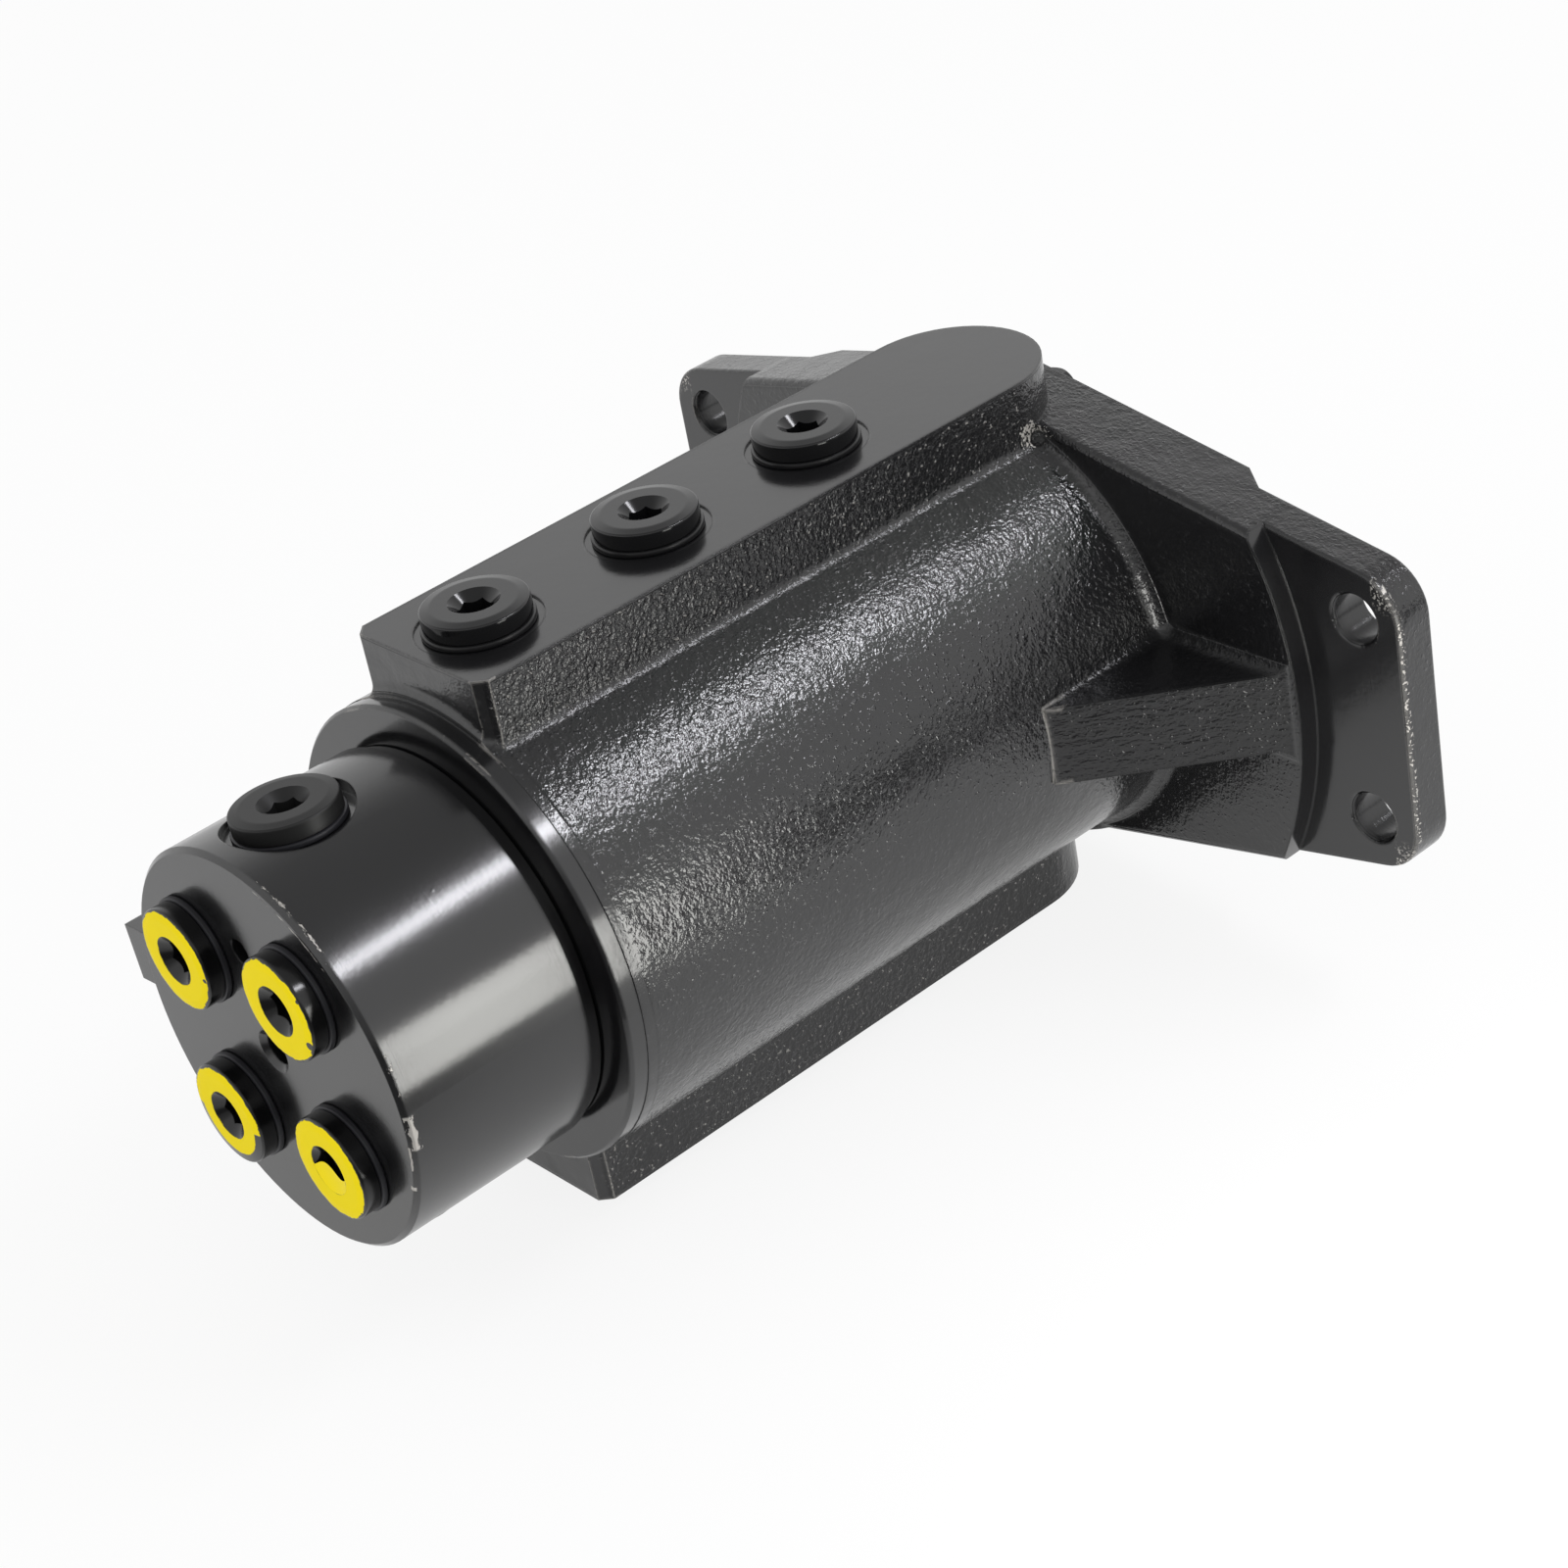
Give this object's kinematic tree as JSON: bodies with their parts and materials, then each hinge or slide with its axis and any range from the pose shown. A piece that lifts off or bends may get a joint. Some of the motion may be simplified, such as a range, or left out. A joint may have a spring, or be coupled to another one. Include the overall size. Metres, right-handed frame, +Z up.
{
  "type": "excavator center swivel joint",
  "caption": "Rotary oil manifold: a plugged shaft swivels in a cast barrel with port bosses above and below and a two-eared flange.",
  "frame": {"origin": "on the swivel axis, in the middle plane of the two flange ears, 6 mm behind their front mounting face", "axes": "+Y along the swivel axis from the plugged shaft end to the flange, +Z up through the longer port boss, +X to the right seen from the shaft end"},
  "size_m": [0.27, 0.2847, 0.1622],
  "materials": {
    "cast_iron_black_paint": "sand-cast skin under black semi-gloss paint",
    "machined_black_paint": "turned steel under thin black satin paint",
    "port_plug_black": "glossy black",
    "face_plug_yellow_paint": "glossy black with a yellow painted ring face",
    "washer_black_paint": "black paint",
    "seal_plastic": "filled sealing plastic",
    "seal_rubber": "oil-proof rubber",
    "bolt_black": "black painted steel",
    "bare_steel": "turned steel"
  },
  "bodies": {
    "housing": {"bottom_port_plug_1": "port_plug_black", "bottom_port_plug_2": "port_plug_black", "bottom_port_plug_3": "port_plug_black", "bottom_port_washer_1": "washer_black_paint", "bottom_port_washer_2": "washer_black_paint", "bottom_port_washer_3": "washer_black_paint", "cover_bolts": "bolt_black", "cover_seal_ring": "seal_rubber", "cover_spring_washers": "washer_black_paint", "dust_seal": "seal_rubber", "end_cover": "machined_black_paint", "housing_casting": "cast_iron_black_paint", "thrust_washer": "seal_plastic", "top_port_plug_1": "port_plug_black", "top_port_plug_2": "port_plug_black", "top_port_plug_3": "port_plug_black", "top_port_washer_1": "washer_black_paint", "top_port_washer_2": "washer_black_paint", "top_port_washer_3": "washer_black_paint"},
    "shaft": {"anti_rotation_lug": "machined_black_paint", "energiser_ring_1": "seal_rubber", "energiser_ring_2": "seal_rubber", "energiser_ring_3": "seal_rubber", "energiser_ring_4": "seal_rubber", "energiser_ring_5": "seal_rubber", "energiser_ring_6": "seal_rubber", "energiser_ring_7": "seal_rubber", "face_plug_1": "face_plug_yellow_paint", "face_plug_2": "face_plug_yellow_paint", "face_plug_3": "face_plug_yellow_paint", "face_plug_4": "face_plug_yellow_paint", "face_plug_washer_1": "washer_black_paint", "face_plug_washer_2": "washer_black_paint", "face_plug_washer_3": "washer_black_paint", "face_plug_washer_4": "washer_black_paint", "far_wear_ring": "seal_plastic", "gallery_plug_bottom": "bare_steel", "gallery_plug_top": "bare_steel", "near_wear_ring": "seal_plastic", "retaining_bolts": "bare_steel", "retaining_plate": "bare_steel", "side_plug_bottom": "port_plug_black", "side_plug_top": "port_plug_black", "side_plug_washer_bottom": "washer_black_paint", "side_plug_washer_top": "washer_black_paint", "slipper_ring_1": "seal_plastic", "slipper_ring_2": "seal_plastic", "slipper_ring_3": "seal_plastic", "slipper_ring_4": "seal_plastic", "slipper_ring_5": "seal_plastic", "slipper_ring_6": "seal_plastic", "slipper_ring_7": "seal_plastic", "swivel_shaft": "machined_black_paint"}
  },
  "joints": [
    {"name": "shaft_swivel", "type": "hinge", "parent": "housing", "child": "shaft", "pos_m": [0, 0, 0], "axis": [0, 1, 0], "continuous": true}
  ]
}
